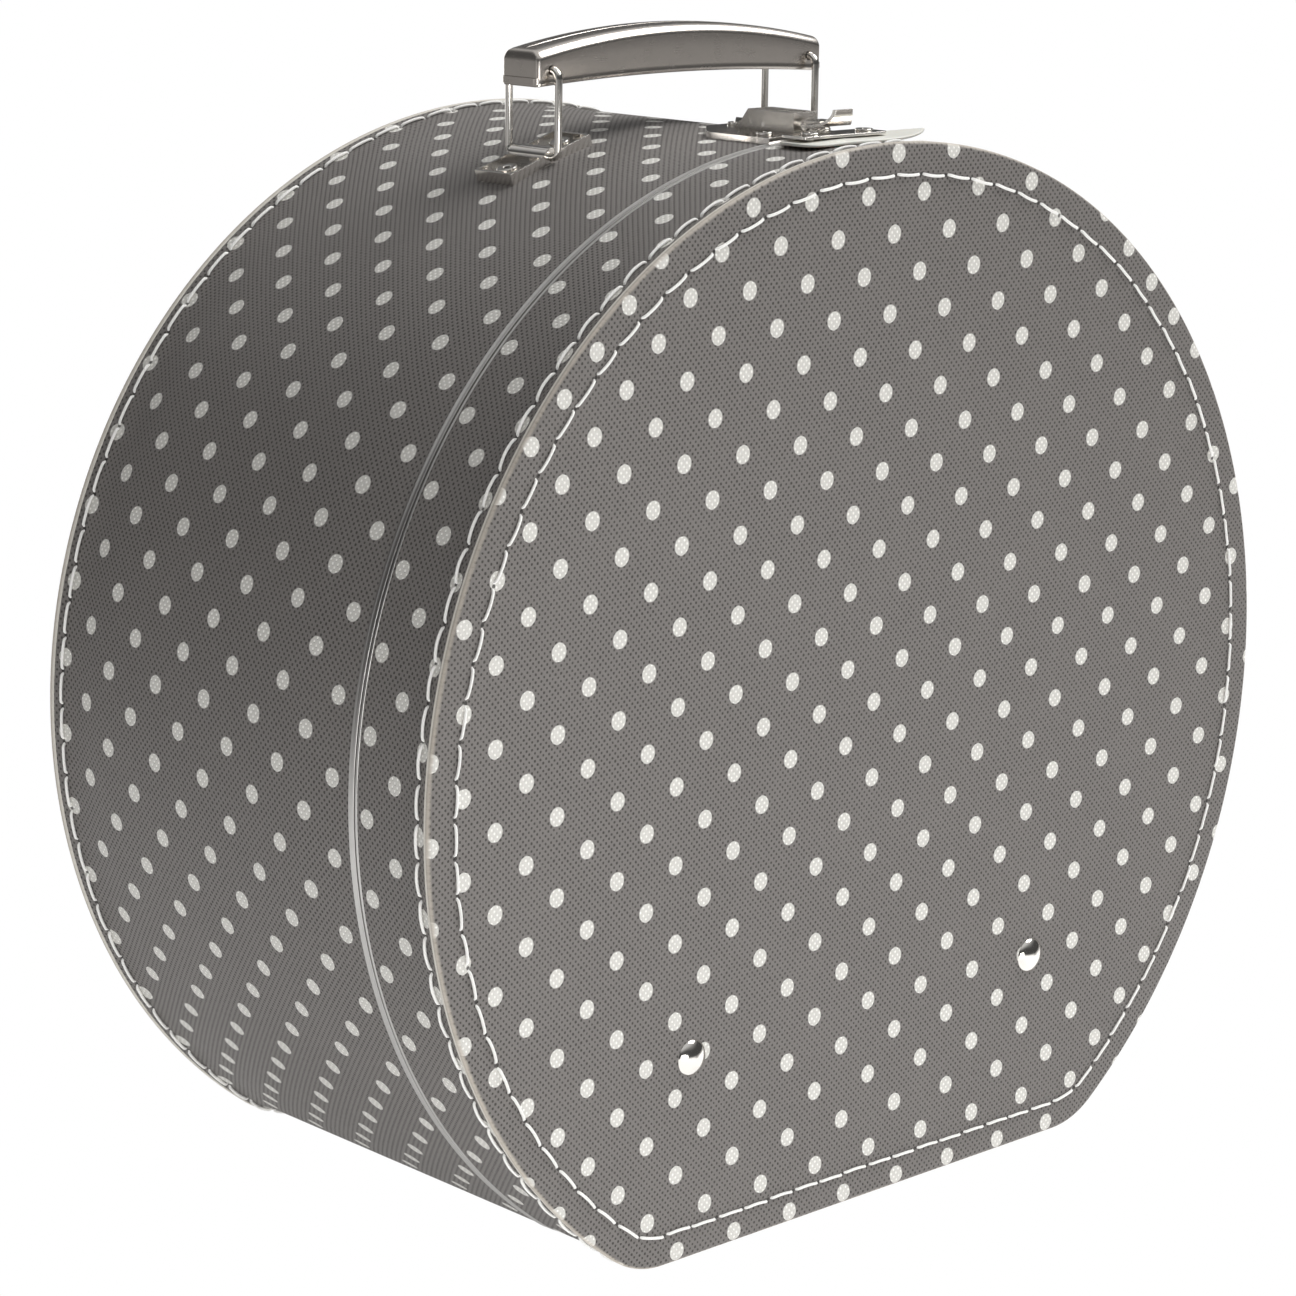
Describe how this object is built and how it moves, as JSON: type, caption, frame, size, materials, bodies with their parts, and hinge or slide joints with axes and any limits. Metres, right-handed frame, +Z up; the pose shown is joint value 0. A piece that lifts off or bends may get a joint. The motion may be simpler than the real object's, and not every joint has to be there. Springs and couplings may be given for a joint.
{
  "type": "hat box",
  "caption": "Drum-shaped hat box with a flat base, a hinged front lid, stitched seams, a lever latch and a folding carrying handle.",
  "frame": {"origin": "middle of the flat base that the closed case stands on, halfway between its front and back faces", "axes": "+Z up, +X to the right seen from the front, -Y out of the lid's face, so +Y runs along the drum's axis to the back"},
  "size_m": [0.3, 0.1574, 0.3003],
  "materials": {
    "dotted_paper": "matt paper with an embossed weave and printed dots",
    "grey_board": "matt",
    "lining_paper": "matt",
    "thread": "soft",
    "tape": "woven",
    "edge_metal": "satin",
    "nickel": "bright nickel plate",
    "plated_steel": "nickel plate",
    "washer_steel": "dull zinc plate",
    "latch_steel": "satin nickel plate",
    "handle_steel": "dark brushed nickel plate",
    "pad": "matt"
  },
  "bodies": {
    "body": {"body_wall": "dotted_paper", "back_panel": "dotted_paper", "back_corner_strip": "grey_board", "body_edge_rail": "edge_metal", "body_collar": "grey_board", "body_wall_lining": "lining_paper", "back_panel_lining": "lining_paper", "back_face_thread": "thread", "body_wall_thread": "thread", "back_rivets": "nickel", "back_rivet_washers": "washer_steel", "stay_tape_left": "tape", "stay_tape_right": "tape", "hinge_leaf_body_left": "plated_steel", "hinge_leaf_body_right": "plated_steel", "hinge_pin_left": "nickel", "hinge_pin_right": "nickel", "hinge_rivets_body": "plated_steel", "handle_bracket_left": "plated_steel", "handle_bracket_right": "plated_steel", "bracket_rivets": "nickel", "bracket_washers": "washer_steel", "latch_plate": "plated_steel", "latch_housing": "latch_steel", "lever_pin": "nickel", "spring_pin": "nickel", "latch_spring": "latch_steel", "latch_rivets": "nickel", "latch_washers": "washer_steel"},
    "lid": {"lid_wall": "dotted_paper", "front_panel": "dotted_paper", "front_corner_strip": "grey_board", "lid_edge_rail": "edge_metal", "lid_wall_lining": "lining_paper", "front_panel_lining": "lining_paper", "front_face_thread": "thread", "lid_wall_thread": "thread", "front_rivets": "nickel", "front_rivet_washers": "washer_steel", "hinge_leaf_lid_left": "plated_steel", "hinge_leaf_lid_right": "plated_steel", "hinge_rivets_lid": "plated_steel", "keeper_plate": "plated_steel", "keeper_pad": "pad", "keeper_rivets": "nickel", "keeper_washers": "washer_steel"},
    "bail_left": {"bail_left": "nickel"},
    "bail_right": {"bail_right": "nickel"},
    "handle": {"handle_shell": "handle_steel", "handle_liner": "handle_steel"},
    "latch_lever": {"latch_lever": "latch_steel"}
  },
  "joints": [
    {"name": "lid_hinge", "type": "hinge", "parent": "body", "child": "lid", "pos_m": [0, -0.0475, 0.0015], "axis": [1, 0, 0], "range_deg": [0, 95], "deforming": ["stay_tape_left", "stay_tape_right"]},
    {"name": "latch_lever_pivot", "type": "hinge", "parent": "body", "child": "latch_lever", "pos_m": [0, -0.0471, 0.2772], "axis": [-1, 0, 0], "range_deg": [0, 75]},
    {"name": "bail_left_swing", "type": "hinge", "parent": "body", "child": "bail_left", "pos_m": [-0.046, 0.007, 0.26838], "axis": [0, 1, 0], "range_deg": [-60, 60]},
    {"name": "bail_right_swing", "type": "hinge", "parent": "body", "child": "bail_right", "pos_m": [0.046, 0.007, 0.26838], "axis": [0, 1, 0], "range_deg": [-60, 60]},
    {"name": "handle_pivot", "type": "hinge", "parent": "bail_left", "child": "handle", "pos_m": [-0.046, 0.007, 0.29018], "axis": [0, 1, 0], "range_deg": [-60, 60]}
  ],
  "couplings": [
    {"joint": "bail_right_swing", "follows": "bail_left_swing", "ratio": 1},
    {"joint": "handle_pivot", "follows": "bail_left_swing", "ratio": -1}
  ]
}
